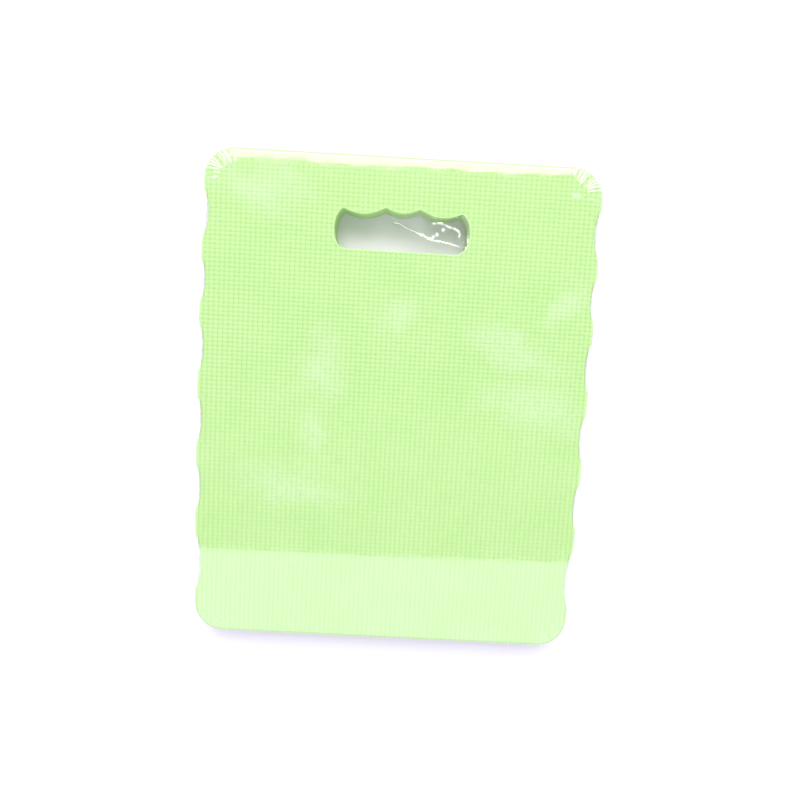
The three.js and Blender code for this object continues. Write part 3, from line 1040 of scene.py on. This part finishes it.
back = film_web("film_back_web", clear_film, -1)
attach(back, "root")
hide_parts("film_back")

bead = seam_bead("film_seam_bead", weld_film)
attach(bead, "root")
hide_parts("film_seam")

flap = film_flap("film_flap", loose_film)
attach(flap, "root")


# ---------------------------------------------------------------- floor, light and camera

FLOOR_HALF = 4.0

# The pad lies in a tent with bright walls and a dimmer top. The flat film mirrors two lights
# overhead: a narrow strip beyond the handle end, along the last cells of that end, and a broad
# cool panel beyond the near end, along the near end of the face. The key is beyond the handle.
LIGHT_Z = 2.0
STRIP_NEAR_Y, STRIP_FAR_Y = 0.592, 0.86
STRIP_WIDTH = 1.3
STRIP_RADIANCE = 5.2
PANEL_NEAR_Y, PANEL_FAR_Y = -0.825, -1.6
PANEL_TURN = 0.0127
PANEL_WIDTH = 2.4
PANEL_RADIANCE = 2.0
WHITE = (1, 1, 1)
COOL_WHITE = (0.75, 0.88, 1.0)
KEY_PLACE = Vector((0, 1.5, 1.85))
KEY_SIZE = (1.6, 1.3)
KEY_RADIANCE = 7.3
TENT_WALL = 1.25
TENT_TOP = 0.3
TENT_WALL_TOP = 42  # degrees above the floor
TENT_TOP_FROM = 66

SENSOR_WIDTH = 36  # millimetres, as the lens
LENS = 31.5
CAMERA_PLACE = Vector((-0.00295, 0.07578, 0.60262))
CAMERA_TILT = (-0.12129, -0.00883, 0.05566)  # from straight down, about X, Y and Z in turn
NEAREST_SEEN = 0.01


def floor_plane(material):
    corners = [(x * FLOOR_HALF, y * FLOOR_HALF, 0)
               for x, y in ((-1, -1), (1, -1), (1, 1), (-1, 1))]
    mesh = bpy.data.meshes.new("floor")
    mesh.from_pydata(corners, [], [(0, 1, 2, 3)])
    mesh.materials.append(material)
    plane = bpy.data.objects.new("floor", mesh)
    bpy.context.scene.collection.objects.link(plane)
    return plane


def area_light(name, place, towards, size, radiance, colour):
    data = bpy.data.lights.new(name, "AREA")
    data.shape = "RECTANGLE"
    data.size, data.size_y = size
    data.energy = math.pi * size[0] * size[1] * radiance
    data.color = colour
    light = bpy.data.objects.new(name, data)
    light.location = place
    light.rotation_euler = Vector(towards).to_track_quat("-Z", "Y").to_euler()
    light.visible_camera = False
    bpy.context.scene.collection.objects.link(light)
    return light


def light_overhead(name, near_y, far_y, width, radiance, colour):
    place = (0, (near_y + far_y) / 2, LIGHT_Z)
    return area_light(name, place, (0, 0, -1), (width, abs(far_y - near_y)), radiance, colour)


def tent_world():
    """Light from all round: bright up to the top of the walls, and dimmer overhead."""
    world = bpy.data.worlds.new("tent")
    world.use_nodes = True
    tree = world.node_tree
    towards = tree.nodes.new("ShaderNodeSeparateXYZ")
    tree.links.new(tree.nodes.new("ShaderNodeTexCoord").outputs["Generated"], towards.inputs[0])
    brightness = ranged(tree, towards.outputs["Z"], math.sin(math.radians(TENT_WALL_TOP)),
                        math.sin(math.radians(TENT_TOP_FROM)), TENT_WALL, TENT_TOP, smooth=True)
    background = tree.nodes["Background"]
    tree.links.new(brightness, background.inputs["Strength"])
    background.inputs["Color"].default_value = (*WHITE, 1)
    return world


floor = floor_plane(floor_material())

light_overhead("strip", STRIP_NEAR_Y, STRIP_FAR_Y, STRIP_WIDTH, STRIP_RADIANCE, WHITE)
panel = light_overhead("panel", PANEL_NEAR_Y, PANEL_FAR_Y, PANEL_WIDTH, PANEL_RADIANCE,
                       COOL_WHITE)
panel.rotation_euler.z += PANEL_TURN
area_light("key", KEY_PLACE, -KEY_PLACE, KEY_SIZE, KEY_RADIANCE, WHITE)
bpy.context.scene.world = tent_world()
bpy.context.scene.view_settings.view_transform = "Standard"

camera_data = bpy.data.cameras.new("camera")
camera_data.sensor_width = SENSOR_WIDTH
camera_data.lens = LENS
camera_data.clip_start = NEAREST_SEEN
camera = bpy.data.objects.new("camera", camera_data)
turn = (Matrix.Rotation(CAMERA_TILT[2], 4, "Z") @ Matrix.Rotation(CAMERA_TILT[1], 4, "Y")
        @ Matrix.Rotation(CAMERA_TILT[0], 4, "X"))
camera.matrix_world = Matrix.Translation(CAMERA_PLACE) @ turn
bpy.context.scene.collection.objects.link(camera)
bpy.context.scene.camera = camera
